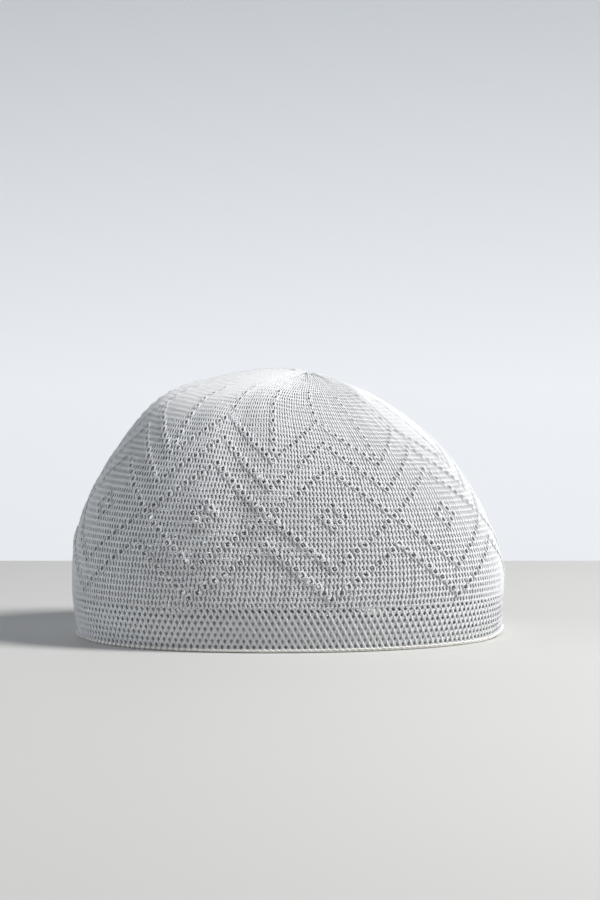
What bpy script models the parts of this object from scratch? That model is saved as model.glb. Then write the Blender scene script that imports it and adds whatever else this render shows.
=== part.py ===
"""A knitted cotton skull cap: one hollow dome of openwork knit, open at the rim.

Units are metres. +X points to the brow, +Y to the wearer's left and +Z up.
The rim stands on Z = 0, and the origin is under the middle of the cap.
The cap is knitted in one piece, so it is one closed solid: an outer face, an inner face
and the flat underside of the rim between them.
"""

import math

import bpy
from mathutils import Vector

# Sizes that can be set by themselves
CAP_LENGTH = 0.200
CAP_WIDTH = 0.156
CAP_HEIGHT = 0.123
KNIT_THICKNESS = 0.0020
EDGE_HEIGHT = 0.0014
EDGE_PROUD = 0.0003
BROW_LIFT = 0.0020
BROW_FLARE = 0.0012
BROW_HEIGHT = 0.014
FOLD_WIDTH = 0.0075
FOLD_DEPTH = 0.0016

# How much wider the cap is behind its middle than before it, as a share of the width
PLAN_TAPER = 0.06

# Half the arc of the rim that turns up over the brow, in degrees
BROW_HALF_ARC = 26.0

# Sections from the rim to the crown.
# height is a share of CAP_HEIGHT, front and back are shares of half CAP_LENGTH,
# side is a share of half CAP_WIDTH, and fullness is 2 for an ellipse and more for a squarer oval.
SECTIONS = (
    # height, front, back, side, fullness
    (0.000, 0.978, 0.970, 0.972, 2.16),
    (0.118, 0.995, 0.995, 0.995, 2.16),
    (0.236, 1.000, 1.000, 1.000, 2.15),
    (0.354, 0.963, 0.988, 0.990, 2.13),
    (0.467, 0.903, 0.943, 0.966, 2.11),
    (0.573, 0.828, 0.884, 0.924, 2.09),
    (0.671, 0.742, 0.812, 0.860, 2.07),
    (0.760, 0.634, 0.735, 0.776, 2.05),
    (0.846, 0.500, 0.650, 0.664, 2.04),
    (0.911, 0.366, 0.545, 0.532, 2.03),
    (0.951, 0.240, 0.410, 0.396, 2.02),
    (0.983, 0.092, 0.245, 0.212, 2.01),
    (1.000, -0.074, 0.074, 0.000, 2.00),
)

# Soft creases left by folding the cap flat, each a line that runs up the cap.
# Angles are in degrees from the brow, minus to the wearer's right, at the line's low and high end.
# low and high are shares of the way from the rim to the crown, width is a share of FOLD_WIDTH,
# and depth is a share of FOLD_DEPTH, minus for a ridge.
FOLDS = (
    # low angle, high angle, low, high, width, depth
    (-99.0, -108.0, 0.12, 0.86, 1.00, 1.00),
    (-90.0, -88.0, 0.50, 0.96, 0.90, -0.55),
    (-128.0, -122.0, 0.52, 0.90, 0.90, 0.65),
    (-44.0, -8.0, 0.64, 0.92, 0.80, -0.60),
    (-150.0, -168.0, 0.55, 0.88, 1.00, -0.50),
    (96.0, 104.0, 0.20, 0.80, 1.20, 0.60),
)

# How finely the dome is divided, around the rim and from the rim to the crown
AROUND = 96
LEVELS = 20

KNIT_COLOUR = (0.86, 0.87, 0.89, 1.0)
KNIT_ROUGHNESS = 0.9


def section_rows():
    """The section table in metres, with one more row past each end to carry the curve on."""
    rows = [
        (h * CAP_HEIGHT, f * CAP_LENGTH / 2, b * CAP_LENGTH / 2, s * CAP_WIDTH / 2, n)
        for h, f, b, s, n in SECTIONS
    ]
    below = tuple(2 * a - b for a, b in zip(rows[0], rows[1]))
    top, last = rows[-1], rows[-2]
    # Past the crown the profile comes down the other side.
    beyond = (last[0], 2 * top[1] - last[1], 2 * top[2] - last[2], 2 * top[3] - last[3], last[4])
    return [below] + rows + [beyond]


def section_at(way):
    """Height, front reach, back reach, side reach and fullness at a share of the way up."""
    rows = section_rows()
    spans = len(rows) - 3
    place = min(max(way, 0.0), 1.0) * spans
    first = min(int(place), spans - 1)
    u = place - first
    a, b, c, d = rows[first : first + 4]
    return [
        0.5 * (2 * q + (r - p) * u + (2 * p - 5 * q + 4 * r - s) * u**2 + (3 * q - p - 3 * r + s) * u**3)
        for p, q, r, s in zip(a, b, c, d)
    ]


def ease(share):
    """Runs smoothly from 0 to 1."""
    share = min(max(share, 0.0), 1.0)
    return share * share * (3 - 2 * share)


def plain_point(angle, way):
    """A point of the cap's outer face before its edge, brow and folds."""
    height, front, back, side, fullness = section_at(way)
    c, s = math.cos(angle), math.sin(angle)
    oval = (abs(c) ** fullness + abs(s) ** fullness) ** (-1 / fullness)
    half = (front + back) / 2
    x = (front - back) / 2 + half * oval * c
    y = side * oval * s * (1 - PLAN_TAPER * c)
    return Vector((x, y, height))


def plain_normal(angle, way):
    """The outward direction of the plain face."""
    step = 1e-4
    way = min(max(way, step), 1 - 10 * step)
    along = plain_point(angle + step, way) - plain_point(angle - step, way)
    up = plain_point(angle, way + step) - plain_point(angle, way - step)
    return along.cross(up).normalized()


def fold_depth(angle, way):
    """How deep the folds press the cap in at a place, in metres."""
    total = 0.0
    middle = plain_point(0, 1.0)
    for low_angle, high_angle, low, high, width, depth in FOLDS:
        if not low < way < high:
            continue
        share = (way - low) / (high - low)
        line = math.radians(low_angle + (high_angle - low_angle) * share)
        turn = (angle - line + math.pi) % (2 * math.pi) - math.pi
        place = plain_point(angle, way)
        reach = math.hypot(place.x - middle.x, place.y)
        across = turn * reach / (width * FOLD_WIDTH)
        fade = ease(share / 0.35) * ease((1 - share) / 0.35)
        total += depth * FOLD_DEPTH * fade * math.exp(-across * across)
    return total


def outer_point(angle, way):
    """A point of the cap's outer face as it stands."""
    point = plain_point(angle, way)
    normal = plain_normal(angle, way)
    point -= normal * fold_depth(angle, way)
    turn = abs((angle + math.pi) % (2 * math.pi) - math.pi)
    over_brow = ease(1 - turn / math.radians(BROW_HALF_ARC)) * ease(1 - point.z / BROW_HEIGHT)
    point.x += BROW_FLARE * over_brow
    point.z += BROW_LIFT * over_brow
    return point


def level_ways():
    """The shares of the way up where the rings of corners lie, closer together at the edge."""
    rim_reach = CAP_HEIGHT * SECTIONS[1][0] * (len(SECTIONS) - 1)
    edge = EDGE_HEIGHT / rim_reach
    above = 1.6 * edge
    return [0.0, edge] + [above + (1 - above) * i / LEVELS for i in range(LEVELS)]


def shell_rings(inset):
    """Rings of corners of a face that lies inset inside the plain outer face."""
    rings = []
    for row, way in enumerate(level_ways()):
        ring = []
        for i in range(AROUND):
            angle = 2 * math.pi * i / AROUND
            point = outer_point(angle, way)
            normal = plain_normal(angle, way)
            if row == 0:
                normal = Vector((normal.x, normal.y, 0)).normalized()
            proud = EDGE_PROUD if row < 2 else 0.0
            if inset > 0:
                point -= normal * (inset + proud)
            else:
                point += normal * proud
            ring.append(point)
        rings.append(ring)
    return rings


def add_face(rings, crown, corners, faces, outward):
    """Adds one face of the dome: its rings, joined, and the corner at the crown."""
    start = len(corners)
    for ring in rings:
        corners.extend(ring)
    corners.append(crown)
    for row in range(len(rings) - 1):
        for i in range(AROUND):
            j = (i + 1) % AROUND
            low, high = start + row * AROUND, start + (row + 1) * AROUND
            face = (low + i, low + j, high + j, high + i)
            faces.append(face if outward else face[::-1])
    top = start + (len(rings) - 1) * AROUND
    for i in range(AROUND):
        face = (top + i, top + (i + 1) % AROUND, len(corners) - 1)
        faces.append(face if outward else face[::-1])
    return start


def cap_mesh():
    """The cap's closed shell."""
    corners, faces = [], []
    crown = outer_point(0, 1.0)
    outer = add_face(shell_rings(0.0), crown, corners, faces, True)
    inner_crown = crown - Vector((0, 0, KNIT_THICKNESS))
    inner = add_face(shell_rings(KNIT_THICKNESS), inner_crown, corners, faces, False)
    smooth = len(faces)
    for i in range(AROUND):
        j = (i + 1) % AROUND
        faces.append((inner + i, inner + j, outer + j, outer + i))
    mesh = bpy.data.meshes.new("knitted_cap")
    mesh.from_pydata([tuple(c) for c in corners], [], faces)
    for polygon in mesh.polygons:
        polygon.use_smooth = polygon.index < smooth
    mesh.update()
    return mesh


def cotton(name, colour, roughness):
    """A plain cotton finish."""
    material = bpy.data.materials.new(name)
    material.use_nodes = True
    shader = material.node_tree.nodes["Principled BSDF"]
    shader.inputs["Base Color"].default_value = colour
    shader.inputs["Roughness"].default_value = roughness
    shader.inputs["Metallic"].default_value = 0.0
    return material


def main():
    for old in list(bpy.data.objects):
        bpy.data.objects.remove(old, do_unlink=True)
    cap = bpy.data.objects.new("knitted_cap", cap_mesh())
    cap.data.materials.append(cotton("white_cotton_knit", KNIT_COLOUR, KNIT_ROUGHNESS))
    bpy.context.scene.collection.objects.link(cap)


main()
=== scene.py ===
"""A white cotton skull cap in openwork knit, resting on its rim.

Every course of the knit is a yarn that runs from the rim to the crown. The yarns are pushed aside
stitch by stitch by a chart, so the holes of the openwork open between them. The chart is drawn flat
and laid over the cap's face by a node tree.

Units are metres. +X points to the brow, +Y to the wearer's left and +Z up.
"""

import math
import random

import bpy
import numpy as np
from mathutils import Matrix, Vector


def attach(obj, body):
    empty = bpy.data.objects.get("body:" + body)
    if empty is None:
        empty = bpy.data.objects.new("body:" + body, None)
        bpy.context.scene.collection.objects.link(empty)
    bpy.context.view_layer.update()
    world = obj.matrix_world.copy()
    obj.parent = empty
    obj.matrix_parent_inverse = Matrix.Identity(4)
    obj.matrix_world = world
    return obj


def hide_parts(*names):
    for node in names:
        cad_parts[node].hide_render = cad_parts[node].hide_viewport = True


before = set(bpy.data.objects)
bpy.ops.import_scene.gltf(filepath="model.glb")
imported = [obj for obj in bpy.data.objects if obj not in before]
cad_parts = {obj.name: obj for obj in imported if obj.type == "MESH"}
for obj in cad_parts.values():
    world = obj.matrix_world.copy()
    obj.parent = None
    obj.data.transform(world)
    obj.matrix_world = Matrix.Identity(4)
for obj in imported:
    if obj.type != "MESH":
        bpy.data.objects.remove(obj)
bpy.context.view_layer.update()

# Size of the cap
CAP_LENGTH = 0.200
CAP_WIDTH = 0.156
CAP_HEIGHT = 0.123
BROW_LIFT = 0.0020
BROW_FLARE = 0.0012
BROW_HEIGHT = 0.014
BROW_HALF_ARC = 26.0
FOLD_WIDTH = 0.0075
FOLD_DEPTH = 0.0016
PLAN_TAPER = 0.06

# The share of a crease's line over which it fades in, and out again
FOLD_FADE = 0.35

# Sections from the rim to the crown, the reaches as shares of half the length and half the width
SECTIONS = (
    # height, front, back, side, fullness
    (0.000, 0.978, 0.970, 0.972, 2.16),
    (0.118, 0.995, 0.995, 0.995, 2.16),
    (0.236, 1.000, 1.000, 1.000, 2.15),
    (0.354, 0.963, 0.988, 0.990, 2.13),
    (0.467, 0.903, 0.943, 0.966, 2.11),
    (0.573, 0.828, 0.884, 0.924, 2.09),
    (0.671, 0.742, 0.812, 0.860, 2.07),
    (0.760, 0.634, 0.735, 0.776, 2.05),
    (0.846, 0.500, 0.650, 0.664, 2.04),
    (0.911, 0.366, 0.545, 0.532, 2.03),
    (0.951, 0.240, 0.410, 0.396, 2.02),
    (0.983, 0.092, 0.245, 0.212, 2.01),
    (1.000, -0.074, 0.074, 0.000, 2.00),
)

# Soft creases, each a line up the cap, with a minus depth for a ridge
FOLDS = (
    # low angle, high angle, low, high, width, depth
    (-99.0, -108.0, 0.12, 0.86, 1.00, 1.00),
    (-90.0, -88.0, 0.50, 0.96, 0.90, -0.55),
    (-128.0, -122.0, 0.52, 0.90, 0.90, 0.65),
    (-44.0, -8.0, 0.64, 0.92, 0.80, -0.60),
    (-150.0, -168.0, 0.55, 0.88, 1.00, -0.50),
    (96.0, 104.0, 0.20, 0.80, 1.20, 0.60),
)

# The knit's centre lies this far in front of the crown, as a share of the way to the rim,
# and the higher the draw, the nearer to the centre the knit is shifted
CENTRE_FORWARD = 0.080
CENTRE_DRAW = 3.5

# The knit is a little skewed on the cap, most in the middle of its height, as a share of a turn
SKEW = 0.0145
SKEW_HEIGHT = 0.130

# Puckers that run out from the drawn centre
PUCKERS = 17
PUCKER_DEPTH = 0.0007
PUCKER_REACH = 0.030
PUCKER_FADE = 0.25
PUCKER_SHARE = 0.6
PUCKER_SWAY = 1.3
PUCKER_SWAYS = 3
BROAD_PUCKERS = 11
BROAD_SHARE = 0.4
BROAD_TURN = 2.0

# The knit's count, and the place of its edge and its first motif
REPEATS = 9
COURSES = 66
ROWS = 63
BAND_ROWS = 7
BAND_COURSES = 3
EDGE = 0.0012
EDGE_MIDDLE = 0.00096
ROW_HEIGHT = 0.00268
FIRST_MOTIF = 0.511

# The yarn. Courses end in pairs where the cap is narrower than TIGHTEST, a share of the widest.
YARN_RADIUS = 0.00051
YARN_SIDES = 4
YARN_DEPTH = 0.00075
YARN_JITTER = 0.00003
TIGHTEST = 0.60
FADING_PAIRS = 3.0
LEAST_WIDTH = 0.05
THINNING = 0.6
ENDING_THICKNESS = 0.35
CENTRE_RADIUS = 0.0030

# The finer yarns that run round behind the courses and tie them, one to a row.
# Their radius is a share of the yarn's, and they have a point at every second course.
ROW_YARN_RADIUS = 0.85
ROW_YARN_DEPTH = 0.00070
BAND_ROW_YARN_DEPTH = 0.00010
ROW_YARN_STEP = 2
ROW_THINNING = 0.4
LEAST_GAP = 0.1

# The chain along the rim, one link to three courses. A minus depth is outside the cap's face.
LINK_COURSES = 3
LINK_LENGTH = 0.0036
LINK_HEIGHT = 0.00046
LINK_RADIUS = 0.00038
LINK_POINTS = 9
LINK_SIDES = 4
LINK_ROLL_LEAST = (0.05, -0.30, 0.14)
LINK_ROLL_MOST = (0.25, -0.22, 0.22)
CORE_RADIUS = 0.00040
CORE_SIDES = 6
EDGE_DEPTH = -0.00005

# The drawn-together centre of the crown: yarns gathered inwards
GATHERS = 32
GATHER_STRAY = 0.2
GATHER_REACH = 0.0062
GATHER_SHORTEST = 0.85
GATHER_LONGEST = 1.1
GATHER_POINTS = 8
GATHER_CLOSING = 1.2
GATHER_RISE = 0.0003
GATHER_RISE_SPEED = 1.5
GATHER_DIP = 0.0009
GATHER_DIP_POWER = 4
GATHER_RADIUS = 0.85
CENTRE_GAP = 0.0003

# The thread that draws them together
DRAWN_TURNS = 3
DRAWN_POINTS = 25
DRAWN_OUT = 0.0024
DRAWN_IN = 0.29
DRAWN_STRAY = 0.0002
DRAWN_STRAYS = 7
DRAWN_LIFT = 0.0002
DRAWN_RISE = 0.00025
DRAWN_RADIUS = 0.6

# How far stitches push their yarn aside, and lean it, in courses
GROUND_PUSH = 0.43
GROUND_LEAN = 0.40
BAND_PUSH = 0.95
BAND_LEAN = 0.10
TOP_BAND_PUSH = 1.00
TOP_BAND_LEAN = 0.30
EYELET_PUSH = 1.02
EYELET_LEAN = 0.24
EYELET_NEXT = 0.12

# How far stitches lift their yarn off the cap's face
BAND_SINK = -0.00012
BAND_CROSS = 0.00060
EYELET_RAISE = 0.00060

# The three places where a yarn has a point in every stitch. Holes of the band are round,
# and those of the ground are slots that lean back and close between the rows.
BAND_STEPS = (
    # place in the row, share of the push, share of the lean, lift
    (-1 / 3, 0.20, 1.0, -0.00010),
    (0.0, 1.0, 0.0, 0.00012),
    (1 / 3, 0.20, -1.0, -0.00010),
)
GROUND_STEPS = (
    (-1 / 2, 0.0, 0.0, 0.00004),
    (-1 / 4, 1.0, 1.0, 0.0),
    (1 / 4, 1.0, -1.0, 0.0),
)
EDGE_STEP = (-1 / 2, 0.0, 0.0, 0.0)

# The zigzag lines, in rows above the band, at the motif's column and at the crossing column
ZIGZAGS = (
    # at the motif, at the crossing
    (2, 11),
    (7, 16),
    (25, 16),
    (30, 21),
    (35, 26),
)
# One motif in each repeat: a ring of eyelets round this row, as courses and rows from its middle
MOTIF_ROW = 16
MOTIF = ((0, 2), (0, -2), (6, 0), (-6, 0), (3, 1), (-3, 1), (3, -1), (-3, -1))
# Single lines of eyelets run on up to the crown
RISE_STEP = 2
RISE_TOP = 50

# How finely the face and the edge are measured out, and where the cap is widest
ROUND_POINTS = 721
UP_POINTS = 241
MERIDIANS = 16
RING_POINTS = 97
EDGE_POINTS = 360
FORM_COLUMNS = 306
FORM_LEVELS = 120
FORM_OVERLAP = 0.02
WIDEST_WAY = 2 / 12

# The cotton
KNIT_WHITE = (0.68, 0.693, 0.712)
EDGE_WHITE = (0.83, 0.82, 0.785)
DARKER_COTTON = 0.955
TONE_SPREAD = 0.16
TWIST_LENGTH = 0.0016
PLIES = 2.0
TWIST_RELIEF = 0.35
FUZZ = 2600.0

# The table and the wall behind it
TABLE_WHITE = (0.565, 0.565, 0.553)
DARKER_TABLE = 0.985
TABLE_GRAIN = 9.0
TABLE_FRONT = -3.0
TABLE_BACK = 0.34
TABLE_HALF_WIDTH = 4.0
TABLE_ROUND = 0.05
LIP_STEPS = 8
WALL_AWAY = 1.6
WALL_FOOT = -1.0
WALL_HEAD = 3.0
WALL_HALF_WIDTH = 5.0
# Painted light on the wall: pale grey-blue near the floor, darker higher up, and a glow of its own
# though it is no lamp
WALL_LOW = (0.650, 0.672, 0.700)
WALL_HIGH = (0.290, 0.309, 0.328)
WALL_LOW_HEIGHT = 0.05
WALL_HIGH_HEIGHT = 0.62
WALL_GLOW = 0.68

# The lights
KEY_PLACE = (1.12, -0.32, 1.18)
KEY_SIZE = 0.5
KEY_POWER = 38.0
KEY_COLOUR = (1.0, 0.99, 0.97)
FILL_PLACE = (-1.5, -0.45, 0.6)
FILL_SIZE = 1.2
FILL_POWER = 9.5
FILL_COLOUR = (0.93, 0.96, 1.0)
ROOM_COLOUR = (0.86, 0.90, 0.95, 1.0)
ROOM_LIGHT = 0.17

# The camera, and the place of the cap's middle in the picture
CAMERA_AWAY = 1.4
CAMERA_RISE = 3.5
SENSOR_WIDTH = 36.0
PIXELS_PER_METRE = 2163.0
PICTURE_HEIGHT = 900
PICTURE_WIDTH = 600
CAP_PLACE = (288.0, 500.0)

# The starts of the random draws
KNIT_DRAWS = 9
CROWN_SEED = 20
EDGE_SEED = 4


def section_at(way):
    """Height, front reach, back reach, side reach and fullness at shares of the way up."""
    scale = np.array([CAP_HEIGHT, CAP_LENGTH / 2, CAP_LENGTH / 2, CAP_WIDTH / 2, 1.0])
    rows = np.array(SECTIONS) * scale
    below = 2 * rows[0] - rows[1]
    beyond = 2 * rows[-1] - rows[-2]
    # Past the crown the profile comes down the other side.
    beyond[0] = rows[-2][0]
    beyond[4] = rows[-2][4]
    rows = np.vstack([below, rows, beyond])
    spans = len(rows) - 3
    place = np.clip(way, 0.0, 1.0) * spans
    first = np.minimum(place.astype(int), spans - 1)
    u = (place - first)[..., None]
    p, q, r, s = rows[first], rows[first + 1], rows[first + 2], rows[first + 3]
    curve = 2 * q + (r - p) * u + (2 * p - 5 * q + 4 * r - s) * u**2 + (3 * q - p - 3 * r + s) * u**3
    return np.moveaxis(curve / 2, -1, 0)


def ease(share):
    """Runs smoothly from 0 to 1."""
    share = np.clip(share, 0.0, 1.0)
    return share * share * (3 - 2 * share)


def plain_points(angle, way):
    """Points of the cap's outer face before its brow and folds."""
    height, front, back, side, fullness = section_at(way)
    c, s = np.cos(angle), np.sin(angle)
    oval = (np.abs(c) ** fullness + np.abs(s) ** fullness) ** (-1 / fullness)
    x = (front - back) / 2 + (front + back) / 2 * oval * c
    y = side * oval * s * (1 - PLAN_TAPER * c)
    return np.stack([x, y, height], axis=-1)


def plain_outward(angle, way):
    """The outward directions of the plain face."""
    step = 1e-4
    way = np.clip(way, step, 1 - 10 * step)
    along = plain_points(angle + step, way) - plain_points(angle - step, way)
    up = plain_points(angle, way + step) - plain_points(angle, way - step)
    outward = np.cross(along, up)
    return outward / np.linalg.norm(outward, axis=-1, keepdims=True)


def fold_depths(angle, way):
    """How deep the folds press the cap in."""
    total = np.zeros_like(angle)
    middle = plain_points(np.zeros(1), np.ones(1))[0]
    place = plain_points(angle, way)
    reach = np.hypot(place[..., 0] - middle[0], place[..., 1])
    for low_angle, high_angle, low, high, width, depth in FOLDS:
        share = (way - low) / (high - low)
        line = np.radians(low_angle + (high_angle - low_angle) * share)
        turn = (angle - line + math.pi) % (2 * math.pi) - math.pi
        across = turn * reach / (width * FOLD_WIDTH)
        fade = ease(share / FOLD_FADE) * ease((1 - share) / FOLD_FADE)
        total += depth * FOLD_DEPTH * fade * np.exp(-across * across)
    return total


def outer_points(angle, way):
    """Points of the cap's outer face as it stands, and their outward directions."""
    outward = plain_outward(angle, way)
    points = plain_points(angle, way) - outward * fold_depths(angle, way)[..., None]
    turn = np.abs((angle + math.pi) % (2 * math.pi) - math.pi)
    over_brow = ease(1 - turn / math.radians(BROW_HALF_ARC)) * ease(1 - points[..., 2] / BROW_HEIGHT)
    points[..., 0] += BROW_FLARE * over_brow
    points[..., 2] += BROW_LIFT * over_brow
    return points, outward


def angle_table():
    """Angles at equal steps of cloth round the widest level, from the nape by the right side."""
    angles = np.linspace(math.pi, 3 * math.pi, ROUND_POINTS)
    widest = plain_points(angles, np.full_like(angles, WIDEST_WAY))
    steps = np.linalg.norm(np.diff(widest, axis=0), axis=1)
    cloth = np.concatenate([[0.0], np.cumsum(steps)])
    return cloth / cloth[-1], angles, cloth[-1]


ROUND_SHARES, ROUND_ANGLES, ROUND_CAP = angle_table()


def way_table():
    """Shares of the way up at steps of cloth from the rim, averaged over the cap's meridians."""
    ways = np.linspace(0.0, 1.0, UP_POINTS)
    total = np.zeros_like(ways)
    for i in range(MERIDIANS):
        line = plain_points(np.full_like(ways, 2 * math.pi * i / MERIDIANS), ways)
        total[1:] += np.cumsum(np.linalg.norm(np.diff(line, axis=0), axis=1))
    return total / MERIDIANS, ways


UP_CLOTH, UP_WAYS = way_table()
TOP = UP_CLOTH[-1]


def lay_flat_place(around, up):
    """The angle and way on the cap of places in the knit: shares around, and metres up."""
    around = around + SKEW * np.sin(math.pi * np.clip(up / SKEW_HEIGHT, 0.0, 1.0))
    angle = np.interp(around % 1.0, ROUND_SHARES, ROUND_ANGLES) + 2 * math.pi * np.floor(around)
    out = 1.0 - np.interp(up, UP_CLOTH, UP_WAYS)
    shift = CENTRE_FORWARD * (1 - out**2) ** CENTRE_DRAW
    x = out * np.cos(angle) + shift
    y = out * np.sin(angle)
    moved = np.arctan2(y, x)
    # The turn stays continuous round the knit.
    moved += 2 * math.pi * np.round((angle - moved) / (2 * math.pi))
    return moved, 1.0 - np.hypot(x, y)


def pucker(around, up):
    """How deep the puckers press the knit in round its centre."""
    near = ease(1 - (TOP - up) / PUCKER_REACH) * ease((TOP - up) / (PUCKER_FADE * PUCKER_REACH))
    turn = 2 * math.pi * around
    fine = PUCKER_SHARE * np.cos(PUCKERS * turn + PUCKER_SWAY * np.sin(PUCKER_SWAYS * turn))
    broad = BROAD_SHARE * np.cos(BROAD_PUCKERS * turn + BROAD_TURN)
    return PUCKER_DEPTH * near * (fine + broad)


def make_form():
    """A hidden face of the cap whose UV map is the flat knit."""
    around = np.linspace(-FORM_OVERLAP, 1.0 + FORM_OVERLAP, FORM_COLUMNS + 1)
    up = np.linspace(0.0, TOP, FORM_LEVELS + 1)
    grid_around, grid_up = np.meshgrid(around, up)
    angle, way = lay_flat_place(grid_around, grid_up)
    points, outward = outer_points(angle, way)
    points -= outward * pucker(grid_around, grid_up)[..., None]
    mesh = bpy.data.meshes.new("form")
    wide = FORM_COLUMNS + 1
    faces = [
        (r * wide + c, r * wide + c + 1, (r + 1) * wide + c + 1, (r + 1) * wide + c)
        for r in range(FORM_LEVELS)
        for c in range(FORM_COLUMNS)
    ]
    mesh.from_pydata(points.reshape(-1, 3).tolist(), [], faces)
    flat = np.stack([grid_around.ravel(), grid_up.ravel() / TOP], axis=-1)
    corner = np.array([v for face in faces for v in face])
    uv = mesh.uv_layers.new(name="knit")
    uv.data.foreach_set("uv", flat[corner].astype(np.float32).ravel())
    stored = mesh.attributes.new("outward", "FLOAT_VECTOR", "POINT")
    stored.data.foreach_set("vector", outward.astype(np.float32).ravel())
    form = bpy.data.objects.new("form", mesh)
    bpy.context.scene.collection.objects.link(form)
    return form


def perimeter_share(up):
    """How far round the cap the knit is at a height in the knit, as a share of the widest."""
    turns = np.linspace(0.0, 1.0, RING_POINTS)
    angle, way = lay_flat_place(turns, np.full_like(turns, up))
    ring, _ = outer_points(angle, way)
    return np.linalg.norm(np.diff(ring, axis=0), axis=1).sum() / ROUND_CAP


def eyelets():
    """The gaps and rows of one repeat where an eyelet opens."""
    holes = set()
    half = COURSES // 2
    for at_motif, at_crossing in ZIGZAGS:
        steps = abs(at_crossing - at_motif)
        for k in range(steps + 1):
            row = BAND_ROWS - 1 + at_motif + (k if at_crossing > at_motif else -k)
            gap = round(half * k / steps)
            holes.add((gap % COURSES, row))
            holes.add((-gap % COURSES, row))
    for course, row in MOTIF:
        holes.add((course % COURSES, BAND_ROWS - 1 + MOTIF_ROW + row))
    last_at_motif = BAND_ROWS - 1 + ZIGZAGS[-1][0]
    last_at_crossing = BAND_ROWS - 1 + ZIGZAGS[-1][1]
    for column, first in ((0, last_at_motif), (half, last_at_crossing)):
        for row in range(first + RISE_STEP, RISE_TOP, RISE_STEP):
            holes.add((column, row))
    return holes


def stitch(course, row, holes):
    """One stitch of a yarn: how far it is pushed aside, leaned, raised, and raised more per row up."""
    if row < BAND_ROWS:
        side = (course - row) % BAND_COURSES
        if side == BAND_COURSES - 1:
            return 0.0, 0.0, BAND_SINK, 0.0
        push = TOP_BAND_PUSH if row == BAND_ROWS - 1 else BAND_PUSH
        lean = TOP_BAND_LEAN if row == BAND_ROWS - 1 else BAND_LEAN
        # The yarn that crosses back from one hole to the next lies on top.
        return (-push, lean, 0.0, -BAND_CROSS) if side == 0 else (push, lean, 0.0, BAND_CROSS)
    if ((course + 1) % COURSES, row) in holes:
        return -EYELET_PUSH, EYELET_LEAN, EYELET_RAISE, 0.0
    if (course, row) in holes:
        return EYELET_PUSH, EYELET_LEAN, EYELET_RAISE, 0.0
    if ((course + 2) % COURSES, row) in holes:
        return -EYELET_NEXT, EYELET_LEAN, 0.0, 0.0
    if ((course - 1) % COURSES, row) in holes:
        return EYELET_NEXT, EYELET_LEAN, 0.0, 0.0
    # The ground's holes stand in columns, one to two courses.
    return (GROUND_PUSH if course % 2 == 0 else -GROUND_PUSH), GROUND_LEAN, 0.0, 0.0


def ending_order():
    """The pairs of courses in a repeat in the order they end towards the crown."""
    pairs = COURSES // 2
    last = [pairs // 2, 0, pairs - 1]
    golden = (math.sqrt(5) - 1) / 2
    order = sorted((p for p in range(pairs) if p not in last), key=lambda p: (p * golden) % 1.0)
    return order + last[::-1]


def course_widths(share):
    """The share of its full width that each course of a repeat keeps where the knit narrows."""
    order = ending_order()
    alive = min(1.0, share / TIGHTEST) * len(order)
    widths = np.ones(COURSES)
    for place, pair in enumerate(order):
        rank = len(order) - 1 - place
        if alive < len(order):
            widths[2 * pair : 2 * pair + 2] = np.clip((alive - rank) / FADING_PAIRS + 0.5, 0.0, 1.0)
    return widths


def knit_levels():
    """The levels where the yarns have points: height, row, step of the stitch, narrowing, widths."""
    levels = [(EDGE_MIDDLE, 0, EDGE_STEP, 1.0, np.ones(COURSES))]
    for row in range(ROWS):
        for step in BAND_STEPS if row < BAND_ROWS else GROUND_STEPS:
            up = EDGE + (row + 0.5 + step[0]) * ROW_HEIGHT
            if up < TOP - CENTRE_RADIUS:
                share = perimeter_share(up)
                levels.append((up, row, step, share, course_widths(share)))
    return levels


def knit_chart(repeat, levels, rng):
    """One repeat of the flat knit as a mesh of lines, with each point's thickness."""
    holes = eyelets()
    points, edges, thickness, shade = [], [], [], []
    for course in range(COURSES):
        tone = rng.uniform(-1.0, 1.0)
        last = None
        turn = (repeat * COURSES + course) / (REPEATS * COURSES) + FIRST_MOTIF / REPEATS >= 1.0
        for up, row, (within, opened, leaned, lift), narrowing, widths in levels:
            own = widths[course]
            if own < LEAST_WIDTH:
                break
            push, lean, raised, climbing = stitch(course, row, holes)
            aside = push * opened + lean * leaned * narrowing
            if opened == 0.0 and row > BAND_ROWS:
                raised = max(raised, stitch(course, row - 1, holes)[2])
            lift += raised * narrowing + climbing * within
            spread = COURSES / widths.sum()
            place = (widths[:course].sum() + own / 2 + aside * own) * spread
            around = (place / COURSES + repeat + FIRST_MOTIF) / REPEATS - turn
            points.append((around, up / TOP, lift))
            fullness = ENDING_THICKNESS + (1 - ENDING_THICKNESS) * own
            thickness.append((narrowing * spread) ** THINNING * fullness)
            shade.append(tone)
            here = len(points) - 1
            if last is not None:
                edges.append((last, here))
            last = here
    tie_rows(repeat, levels, holes, points, edges, thickness, shade)
    return line_piece(f"knit_repeat_{repeat + 1}", points, edges, thickness, shade)


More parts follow.
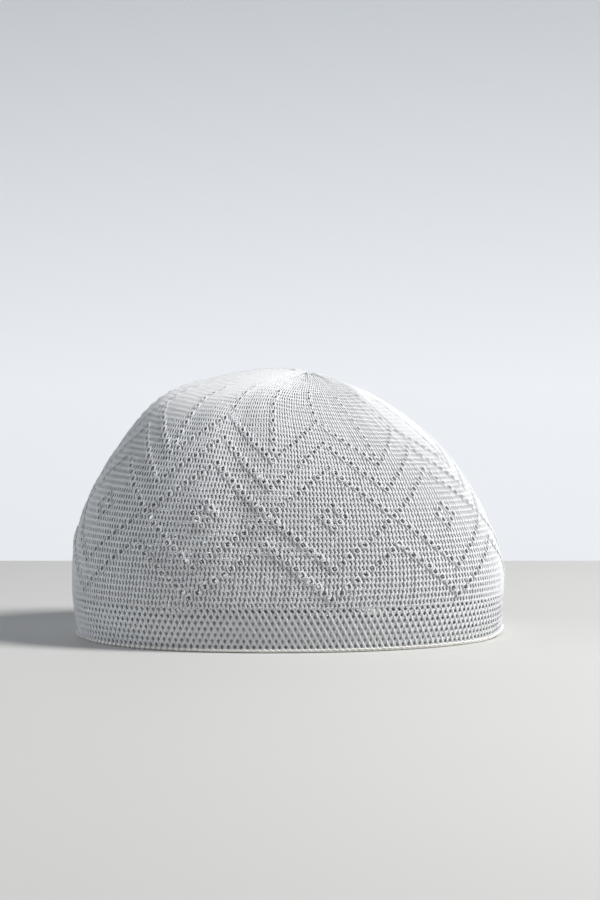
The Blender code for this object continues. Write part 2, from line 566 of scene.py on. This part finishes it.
def tie_rows(repeat, levels, holes, points, edges, thickness, shade):
    """Adds the yarns of one repeat that run round behind its courses, one to a row."""
    for _, row, step, narrowing, widths in levels:
        if step not in (BAND_STEPS[0], GROUND_STEPS[0]):
            continue
        # In the band they part the rows. In the ground they cross behind the slots,
        # but leave the eyelets open.
        in_band = row < BAND_ROWS
        middle = EDGE + (row + (0.0 if in_band else 0.5)) * ROW_HEIGHT
        depth = BAND_ROW_YARN_DEPTH if in_band else ROW_YARN_DEPTH
        ends = [0.0] + list(np.cumsum(widths) / widths.sum())
        last_place, joined, turn = None, False, 0
        for gap in range(1, COURSES + 2, ROW_YARN_STEP):
            place = ends[gap] if gap <= COURSES else 1.0 + ends[gap - COURSES]
            if last_place is not None and place - last_place < LEAST_GAP / COURSES:
                continue
            if any(((gap - back) % COURSES, row) in holes for back in range(ROW_YARN_STEP + 1)):
                joined = False
            around = (repeat + place + FIRST_MOTIF) / REPEATS - turn
            for again in range(2 if around > 1.0 else 1):
                points.append((around - again, middle / TOP, -depth))
                thickness.append(ROW_YARN_RADIUS * narrowing**ROW_THINNING)
                shade.append(0.0)
                if joined and not again:
                    edges.append((len(points) - 2, len(points) - 1))
                turn += again
            last_place, joined = place, True


def line_piece(name, points, edges, thickness, shade):
    """An object made of the flat knit's lines."""
    mesh = bpy.data.meshes.new(name)
    mesh.from_pydata(points, edges, [])
    store(mesh, "thickness", thickness)
    store(mesh, "shade", shade)
    piece = bpy.data.objects.new(name, mesh)
    bpy.context.scene.collection.objects.link(piece)
    return piece


def crown_chart(rng):
    """The flat lines of the crown's centre: gathered yarns, and the thread that draws them in."""
    points, edges, thickness, shade = [], [], [], []

    def add_line(line, width):
        tone = rng.uniform(-1.0, 1.0)
        for step, point in enumerate(line):
            if step:
                edges.append((len(points) - 1, len(points)))
            points.append(point)
            thickness.append(width)
            shade.append(tone)

    for i in range(GATHERS):
        around = (i + 0.5 + rng.uniform(-GATHER_STRAY, GATHER_STRAY)) / GATHERS
        reach = GATHER_REACH * rng.uniform(GATHER_SHORTEST, GATHER_LONGEST)
        line = []
        for step in range(GATHER_POINTS):
            share = step / (GATHER_POINTS - 1)
            out = reach * (1 - share) ** GATHER_CLOSING + CENTRE_GAP
            rise = GATHER_RISE * math.sin(math.pi * min(1.0, GATHER_RISE_SPEED * share))
            lift = rise - GATHER_DIP * share**GATHER_DIP_POWER
            line.append((around, 1.0 - out / TOP, lift))
        add_line(line, GATHER_RADIUS)
    for turn in range(DRAWN_TURNS):
        line = []
        for step in range(DRAWN_POINTS):
            around = step / (DRAWN_POINTS - 1)
            stray = DRAWN_STRAY * math.sin(DRAWN_STRAYS * 2 * math.pi * around)
            out = max(DRAWN_OUT * (1 - DRAWN_IN * (turn + around)) + stray, CENTRE_GAP)
            lift = DRAWN_LIFT + DRAWN_RISE * math.sin(GATHERS / 4 * 2 * math.pi * around + turn)
            line.append((around, 1.0 - out / TOP, lift))
        add_line(line, DRAWN_RADIUS)
    return line_piece("crown_gather", points, edges, thickness, shade)


def store(mesh, name, values):
    """Keeps one number on each point of a mesh."""
    kept = mesh.attributes.new(name, "FLOAT", "POINT")
    kept.data.foreach_set("value", np.array(values, dtype=np.float32))


class Tree:
    """A tree of geometry nodes under construction."""

    def __init__(self, name):
        self.group = bpy.data.node_groups.new(name, "GeometryNodeTree")
        self.group.interface.new_socket("Geometry", in_out="INPUT", socket_type="NodeSocketGeometry")
        self.group.interface.new_socket("Geometry", in_out="OUTPUT", socket_type="NodeSocketGeometry")
        self.start = self.group.nodes.new("NodeGroupInput")
        self.end = self.group.nodes.new("NodeGroupOutput")
        self.places = {}

    def size(self, name, kind, value=None):
        """Adds a named input to the tree."""
        socket = self.group.interface.new_socket(name, in_out="INPUT", socket_type=kind)
        if value is not None:
            socket.default_value = value
        self.places[name] = socket.identifier

    def given(self, name):
        """The output of a named input."""
        return self.start.outputs[name]

    def add(self, kind, settings=None, **inputs):
        """Adds a node, with its settings and what its inputs take."""
        node = self.group.nodes.new(kind)
        for key, value in (settings or {}).items():
            setattr(node, key, value)
        for key, value in inputs.items():
            self.join(value, self.socket(node, key))
        return node

    @staticmethod
    def socket(node, key):
        """The input of a node by its name in small letters, or by its number."""
        if key.startswith("n") and key[1:].isdigit():
            return node.inputs[int(key[1:])]
        wanted = key.replace("_", " ")
        for socket in node.inputs:
            if socket.enabled and socket.name.lower() == wanted:
                return socket
        raise KeyError(f"{node.bl_idname} has no input {key}: {[s.name for s in node.inputs]}")

    def join(self, value, socket):
        """Links an output to an input, or sets the input's own value."""
        if isinstance(value, bpy.types.NodeSocket):
            self.group.links.new(value, socket)
        elif isinstance(value, bpy.types.Node):
            self.group.links.new(value.outputs[0], socket)
        else:
            socket.default_value = value


def yarn_tree():
    """The tree that lays flat yarns over the cap and makes them round."""
    tree = Tree("lay yarn over cap")
    tree.size("Form", "NodeSocketObject")
    tree.size("Yarn Radius", "NodeSocketFloat", YARN_RADIUS)
    tree.size("Yarn Sides", "NodeSocketInt", YARN_SIDES)
    tree.size("Depth", "NodeSocketFloat", YARN_DEPTH)
    tree.size("Jitter", "NodeSocketFloat", YARN_JITTER)
    tree.size("Seed", "NodeSocketInt", 1)
    tree.size("Finish", "NodeSocketMaterial")
    form = tree.add(
        "GeometryNodeObjectInfo", {"transform_space": "RELATIVE"},
        object=tree.given("Form"),
    )
    form_face = form.outputs["Geometry"]
    flat = tree.add("GeometryNodeInputPosition")
    parts = tree.add("ShaderNodeSeparateXYZ", n0=flat)
    place = tree.add("ShaderNodeCombineXYZ", n0=parts.outputs[0], n1=parts.outputs[1])
    knit_map = tree.add("GeometryNodeInputNamedAttribute", {"data_type": "FLOAT_VECTOR"}, n0="knit")
    outward = tree.add("GeometryNodeInputNamedAttribute", {"data_type": "FLOAT_VECTOR"}, n0="outward")
    face_point = tree.add("GeometryNodeInputPosition")
    here = tree.add(
        "GeometryNodeSampleUVSurface", {"data_type": "FLOAT_VECTOR"},
        mesh=form_face, value=face_point, uv_map=knit_map, sample_uv=place,
    )
    away = tree.add(
        "GeometryNodeSampleUVSurface", {"data_type": "FLOAT_VECTOR"},
        mesh=form_face, value=outward, uv_map=knit_map, sample_uv=place,
    )
    lift = tree.add(
        "ShaderNodeMath", {"operation": "SUBTRACT"},
        n0=parts.outputs[2], n1=tree.given("Depth"),
    )
    lifted = tree.add("ShaderNodeVectorMath", {"operation": "SCALE"}, n0=away)
    tree.join(lift, lifted.inputs["Scale"])
    laid = tree.add("ShaderNodeVectorMath", {"operation": "ADD"}, n0=here, n1=lifted)
    loose = tree.add("FunctionNodeRandomValue", {"data_type": "FLOAT_VECTOR"}, seed=tree.given("Seed"))
    loose.inputs[0].default_value = (-1.0, -1.0, -1.0)
    loose.inputs[1].default_value = (1.0, 1.0, 1.0)
    loosened = tree.add("ShaderNodeVectorMath", {"operation": "SCALE"}, n0=loose)
    tree.join(tree.given("Jitter"), loosened.inputs["Scale"])
    settled = tree.add("ShaderNodeVectorMath", {"operation": "ADD"}, n0=laid, n1=loosened)
    lines = tree.add("GeometryNodeSetPosition", geometry=tree.given("Geometry"), position=settled)
    yarns = tree.add("GeometryNodeMeshToCurve", n0=lines)
    thickness = tree.add("GeometryNodeInputNamedAttribute", {"data_type": "FLOAT"}, n0="thickness")
    radius = tree.add(
        "ShaderNodeMath", {"operation": "MULTIPLY"},
        n0=thickness, n1=tree.given("Yarn Radius"),
    )
    sized = tree.add("GeometryNodeSetCurveRadius", curve=yarns, radius=radius)
    run = tree.add("GeometryNodeSplineParameter")
    measured = tree.add(
        "GeometryNodeStoreNamedAttribute", {"data_type": "FLOAT", "domain": "POINT"},
        geometry=sized, name="along", value=run.outputs["Length"],
    )
    ring = tree.add("GeometryNodeCurvePrimitiveCircle", resolution=tree.given("Yarn Sides"), radius=1.0)
    ring_point = tree.add("GeometryNodeInputPosition")
    marked = tree.add(
        "GeometryNodeStoreNamedAttribute", {"data_type": "FLOAT_VECTOR", "domain": "POINT"},
        geometry=ring, name="turn", value=ring_point,
    )
    width = tree.add("GeometryNodeInputRadius")
    tubes = tree.add(
        "GeometryNodeCurveToMesh",
        curve=measured, profile_curve=marked, scale=width, fill_caps=True,
    )
    smooth = tree.add("GeometryNodeSetShadeSmooth", n0=tubes)
    real = tree.add("GeometryNodeRealizeInstances", n0=smooth)
    finished = tree.add("GeometryNodeSetMaterial", geometry=real, material=tree.given("Finish"))
    tree.join(finished, tree.end.inputs[0])
    return tree


def chain_tree():
    """The tree that hangs the links of a chain along a closed path, over a core yarn."""
    tree = Tree("chain along edge")
    tree.size("Links", "NodeSocketInt", REPEATS * COURSES // LINK_COURSES)
    tree.size("Link Length", "NodeSocketFloat", LINK_LENGTH)
    tree.size("Link Height", "NodeSocketFloat", LINK_HEIGHT)
    tree.size("Link Radius", "NodeSocketFloat", LINK_RADIUS)
    tree.size("Core Radius", "NodeSocketFloat", CORE_RADIUS)
    tree.size("Seed", "NodeSocketInt", 1)
    tree.size("Finish", "NodeSocketMaterial")
    path = tree.add("GeometryNodeMeshToCurve", n0=tree.given("Geometry"))
    even = tree.add("GeometryNodeResampleCurve", n0=path)
    tree.join(tree.given("Links"), tree.socket(even, "count"))
    tangent = tree.add("GeometryNodeInputTangent")
    outward = tree.add("GeometryNodeInputNamedAttribute", {"data_type": "FLOAT_VECTOR"}, n0="outward")
    facing = tree.add(
        "FunctionNodeAxesToRotation", {"primary_axis": "X", "secondary_axis": "Z"},
        n0=tangent, n1=outward,
    )
    loop = tree.add("GeometryNodeCurvePrimitiveCircle", resolution=LINK_POINTS, radius=1.0)
    long_half = tree.add(
        "ShaderNodeMath", {"operation": "MULTIPLY"},
        n0=tree.given("Link Length"), n1=0.5,
    )
    loop_size = tree.add("ShaderNodeCombineXYZ", n0=long_half, n1=tree.given("Link Height"), n2=1.0)
    link_line = tree.add("GeometryNodeTransform", geometry=loop, scale=loop_size)
    link_ring = tree.add("GeometryNodeCurvePrimitiveCircle", resolution=LINK_SIDES)
    tree.join(tree.given("Link Radius"), tree.socket(link_ring, "radius"))
    link = tree.add("GeometryNodeCurveToMesh", curve=link_line, profile_curve=link_ring)
    rolled = tree.add("FunctionNodeRandomValue", {"data_type": "FLOAT_VECTOR"}, seed=tree.given("Seed"))
    rolled.inputs[0].default_value = LINK_ROLL_LEAST
    rolled.inputs[1].default_value = LINK_ROLL_MOST
    chain = tree.add("GeometryNodeInstanceOnPoints", points=even, instance=link, rotation=facing)
    tipped = tree.add("GeometryNodeRotateInstances", instances=chain, rotation=rolled)
    core_ring = tree.add("GeometryNodeCurvePrimitiveCircle", resolution=CORE_SIDES)
    tree.join(tree.given("Core Radius"), tree.socket(core_ring, "radius"))
    core = tree.add("GeometryNodeCurveToMesh", curve=path, profile_curve=core_ring)
    both = tree.add("GeometryNodeJoinGeometry")
    tree.join(tipped, both.inputs[0])
    tree.join(core, both.inputs[0])
    real = tree.add("GeometryNodeRealizeInstances", n0=both)
    smooth = tree.add("GeometryNodeSetShadeSmooth", n0=real)
    finished = tree.add("GeometryNodeSetMaterial", geometry=smooth, material=tree.given("Finish"))
    tree.join(finished, tree.end.inputs[0])
    return tree


def apply_tree(piece, tree, **values):
    """Runs a tree on a piece and leaves a plain mesh."""
    modifier = piece.modifiers.new(tree.group.name, "NODES")
    modifier.node_group = tree.group
    for name, value in values.items():
        modifier[tree.places[name.replace("_", " ")]] = value
    graph = bpy.context.evaluated_depsgraph_get()
    made = bpy.data.meshes.new_from_object(piece.evaluated_get(graph))
    piece.modifiers.remove(modifier)
    made.name = piece.name
    piece.data = made


def cotton_yarn(name, colour):
    """White cotton yarn: soft, dull, twisted and a little fuzzy."""
    material = bpy.data.materials.new(name)
    material.use_nodes = True
    nodes, links = material.node_tree.nodes, material.node_tree.links
    shader = nodes["Principled BSDF"]
    shader.inputs["Roughness"].default_value = 0.9
    shader.inputs["Specular IOR Level"].default_value = 0.25
    shader.inputs["Sheen Weight"].default_value = 0.35
    shader.inputs["Sheen Roughness"].default_value = 0.45
    place = nodes.new("ShaderNodeTexCoord")
    tone = nodes.new("ShaderNodeAttribute")
    tone.attribute_name = "shade"
    mottle = nodes.new("ShaderNodeTexNoise")
    mottle.inputs["Scale"].default_value = 90.0
    mottle.inputs["Detail"].default_value = 3.0
    links.new(place.outputs["Object"], mottle.inputs["Vector"])
    level = nodes.new("ShaderNodeMath")
    level.operation = "MULTIPLY_ADD"
    links.new(tone.outputs["Fac"], level.inputs[0])
    level.inputs[1].default_value = TONE_SPREAD
    links.new(mottle.outputs["Fac"], level.inputs[2])
    ramp = nodes.new("ShaderNodeMix")
    ramp.data_type = "RGBA"
    ramp.inputs["A"].default_value = tuple(c * DARKER_COTTON for c in colour) + (1.0,)
    ramp.inputs["B"].default_value = tuple(colour) + (1.0,)
    links.new(level.outputs[0], ramp.inputs["Factor"])
    links.new(ramp.outputs["Result"], shader.inputs["Base Color"])
    along = nodes.new("ShaderNodeAttribute")
    along.attribute_name = "along"
    turn = nodes.new("ShaderNodeAttribute")
    turn.attribute_name = "turn"
    parts = nodes.new("ShaderNodeSeparateXYZ")
    links.new(turn.outputs["Vector"], parts.inputs[0])
    angle = nodes.new("ShaderNodeMath")
    angle.operation = "ARCTAN2"
    links.new(parts.outputs[1], angle.inputs[0])
    links.new(parts.outputs[0], angle.inputs[1])
    plies = nodes.new("ShaderNodeMath")
    plies.operation = "MULTIPLY_ADD"
    links.new(along.outputs["Fac"], plies.inputs[0])
    plies.inputs[1].default_value = 2 * math.pi / TWIST_LENGTH
    links.new(angle.outputs[0], plies.inputs[2])
    twist = nodes.new("ShaderNodeMath")
    twist.operation = "SINE"
    doubled = nodes.new("ShaderNodeMath")
    doubled.operation = "MULTIPLY"
    links.new(plies.outputs[0], doubled.inputs[0])
    doubled.inputs[1].default_value = PLIES
    links.new(doubled.outputs[0], twist.inputs[0])
    fibres = nodes.new("ShaderNodeTexNoise")
    fibres.inputs["Scale"].default_value = FUZZ
    fibres.inputs["Detail"].default_value = 4.0
    links.new(place.outputs["Object"], fibres.inputs["Vector"])
    relief = nodes.new("ShaderNodeMath")
    relief.operation = "MULTIPLY_ADD"
    links.new(twist.outputs[0], relief.inputs[0])
    relief.inputs[1].default_value = TWIST_RELIEF
    links.new(fibres.outputs["Fac"], relief.inputs[2])
    bump = nodes.new("ShaderNodeBump")
    bump.inputs["Strength"].default_value = 0.6
    bump.inputs["Distance"].default_value = 0.00008
    links.new(relief.outputs[0], bump.inputs["Height"])
    links.new(bump.outputs["Normal"], shader.inputs["Normal"])
    return material


def plain_finish(name, colour, grain):
    """A plain matt surface with a faint grain."""
    material = bpy.data.materials.new(name)
    material.use_nodes = True
    nodes, links = material.node_tree.nodes, material.node_tree.links
    shader = nodes["Principled BSDF"]
    shader.inputs["Roughness"].default_value = 0.6
    place = nodes.new("ShaderNodeTexCoord")
    noise = nodes.new("ShaderNodeTexNoise")
    noise.inputs["Scale"].default_value = grain
    links.new(place.outputs["Object"], noise.inputs["Vector"])
    mix = nodes.new("ShaderNodeMix")
    mix.data_type = "RGBA"
    mix.inputs["A"].default_value = tuple(c * DARKER_TABLE for c in colour) + (1.0,)
    mix.inputs["B"].default_value = tuple(colour) + (1.0,)
    links.new(noise.outputs["Fac"], mix.inputs["Factor"])
    links.new(mix.outputs["Result"], shader.inputs["Base Color"])
    return material


def glowing_wall(name, low, high, low_height, high_height):
    """A grey-blue wall with painted light: paler near the floor and darker higher up, and glowing with
    a soft light of its own though it is no lamp.
    """
    material = bpy.data.materials.new(name)
    material.use_nodes = True
    nodes, links = material.node_tree.nodes, material.node_tree.links
    shader = nodes["Principled BSDF"]
    shader.inputs["Roughness"].default_value = 0.9
    place = nodes.new("ShaderNodeTexCoord")
    parts = nodes.new("ShaderNodeSeparateXYZ")
    links.new(place.outputs["Object"], parts.inputs[0])
    # Painted light: the colour darkens from the low grey-blue to the high one up the wall
    climb = nodes.new("ShaderNodeMapRange")
    climb.inputs["From Min"].default_value = low_height
    climb.inputs["From Max"].default_value = high_height
    links.new(parts.outputs["Z"], climb.inputs["Value"])
    mix = nodes.new("ShaderNodeMix")
    mix.data_type = "RGBA"
    mix.inputs["A"].default_value = tuple(low) + (1.0,)
    mix.inputs["B"].default_value = tuple(high) + (1.0,)
    links.new(climb.outputs["Result"], mix.inputs["Factor"])
    links.new(mix.outputs["Result"], shader.inputs["Base Color"])
    # Painted glow: the wall gives off its own colour as light
    links.new(mix.outputs["Result"], shader.inputs["Emission Color"])
    shader.inputs["Emission Strength"].default_value = WALL_GLOW
    return material


def sweep(name, line, half_width, material):
    """A sheet that runs along a line of places in depth and height."""
    corners = [(x, y, z) for y, z in line for x in (-half_width, half_width)]
    faces = [(2 * i, 2 * i + 1, 2 * i + 3, 2 * i + 2) for i in range(len(line) - 1)]
    mesh = bpy.data.meshes.new(name)
    mesh.from_pydata(corners, [], faces)
    mesh.shade_smooth()
    mesh.materials.append(material)
    sheet = bpy.data.objects.new(name, mesh)
    bpy.context.scene.collection.objects.link(sheet)
    return sheet


def area_light(name, place, aim, size, power, colour):
    """A soft light that faces a place."""
    light = bpy.data.lights.new(name, "AREA")
    light.shape = "DISK"
    light.size = size
    light.energy = power
    light.color = colour
    lamp = bpy.data.objects.new(name, light)
    lamp.location = place
    lamp.rotation_mode = "QUATERNION"
    lamp.rotation_quaternion = (Vector(aim) - Vector(place)).to_track_quat("-Z", "Y")
    bpy.context.scene.collection.objects.link(lamp)


def set_room():
    """The table, the wall behind it, the lights and the camera."""
    table_top = plain_finish("table_white", TABLE_WHITE, TABLE_GRAIN)
    wall = glowing_wall("wall_grey_blue", WALL_LOW, WALL_HIGH, WALL_LOW_HEIGHT, WALL_HIGH_HEIGHT)
    floor = sweep("floor", [(TABLE_FRONT, 0.0), (TABLE_BACK, 0.0)], TABLE_HALF_WIDTH, table_top)
    rounding = [
        (TABLE_BACK + TABLE_ROUND * math.sin(t), -TABLE_ROUND * (1 - math.cos(t)))
        for t in (i * math.pi / (2 * LIP_STEPS) for i in range(LIP_STEPS + 1))
    ]
    lip = sweep("floor_edge", rounding, TABLE_HALF_WIDTH, table_top)
    back = sweep("backdrop", [(WALL_AWAY, WALL_FOOT), (WALL_AWAY, WALL_HEAD)], WALL_HALF_WIDTH, wall)
    middle = (0, 0, CAP_HEIGHT / 2)
    area_light("key", KEY_PLACE, middle, KEY_SIZE, KEY_POWER, KEY_COLOUR)
    area_light("fill", FILL_PLACE, middle, FILL_SIZE, FILL_POWER, FILL_COLOUR)
    world = bpy.data.worlds.new("room")
    bpy.context.scene.world = world
    world.use_nodes = True
    sky = world.node_tree.nodes["Background"]
    sky.inputs["Color"].default_value = ROOM_COLOUR
    sky.inputs["Strength"].default_value = ROOM_LIGHT
    lens = bpy.data.cameras.new("camera")
    camera = bpy.data.objects.new("camera", lens)
    bpy.context.scene.collection.objects.link(camera)
    bpy.context.scene.camera = camera
    lens.sensor_width = SENSOR_WIDTH
    lens.lens = PIXELS_PER_METRE * CAMERA_AWAY * lens.sensor_width / PICTURE_HEIGHT
    rise = math.radians(CAMERA_RISE)
    aside = (PICTURE_WIDTH / 2 - CAP_PLACE[0]) / PIXELS_PER_METRE
    above = (CAP_PLACE[1] - PICTURE_HEIGHT / 2) / PIXELS_PER_METRE
    back_way = Vector((0, -math.cos(rise), math.sin(rise)))
    up_way = Vector((0, math.sin(rise), math.cos(rise)))
    aim = Vector(middle) + Vector((aside, 0, 0)) + up_way * above
    camera.location = aim + back_way * CAMERA_AWAY
    camera.rotation_mode = "QUATERNION"
    camera.rotation_quaternion = (-back_way).to_track_quat("-Z", "Y")
    bpy.context.scene.view_settings.view_transform = "Standard"


def edge_path():
    """The path of the chain along the rim."""
    turns = np.linspace(0.0, 1.0, EDGE_POINTS, endpoint=False)
    angle, way = lay_flat_place(turns, np.full_like(turns, EDGE_MIDDLE))
    points, outward = outer_points(angle, way)
    points = points - outward * EDGE_DEPTH
    mesh = bpy.data.meshes.new("edge_path")
    mesh.from_pydata(points.tolist(), [(i, (i + 1) % EDGE_POINTS) for i in range(EDGE_POINTS)], [])
    kept = mesh.attributes.new("outward", "FLOAT_VECTOR", "POINT")
    kept.data.foreach_set("vector", outward.astype(np.float32).ravel())
    piece = bpy.data.objects.new("edge_chain", mesh)
    bpy.context.scene.collection.objects.link(piece)
    return piece


def wear(piece):
    """Declares a piece of the cap."""
    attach(piece, "root")
    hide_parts("knitted_cap")


def main():
    form = make_form()
    levels = knit_levels()
    tree = yarn_tree()
    white = cotton_yarn("white_cotton_yarn", KNIT_WHITE)
    rng = random.Random(KNIT_DRAWS)
    cap = []
    for repeat in range(REPEATS):
        piece = knit_chart(repeat, levels, rng)
        apply_tree(piece, tree, Form=form, Seed=repeat + 1, Finish=white)
        cap.append(piece)
    crown = crown_chart(rng)
    apply_tree(crown, tree, Form=form, Seed=CROWN_SEED, Finish=white)
    cap.append(crown)
    bpy.data.objects.remove(form, do_unlink=True)
    cream = cotton_yarn("cream_edge_yarn", EDGE_WHITE)
    edge = edge_path()
    apply_tree(edge, chain_tree(), Seed=EDGE_SEED, Finish=cream)
    cap.append(edge)
    for piece in cap:
        wear(piece)
    set_room()


main()
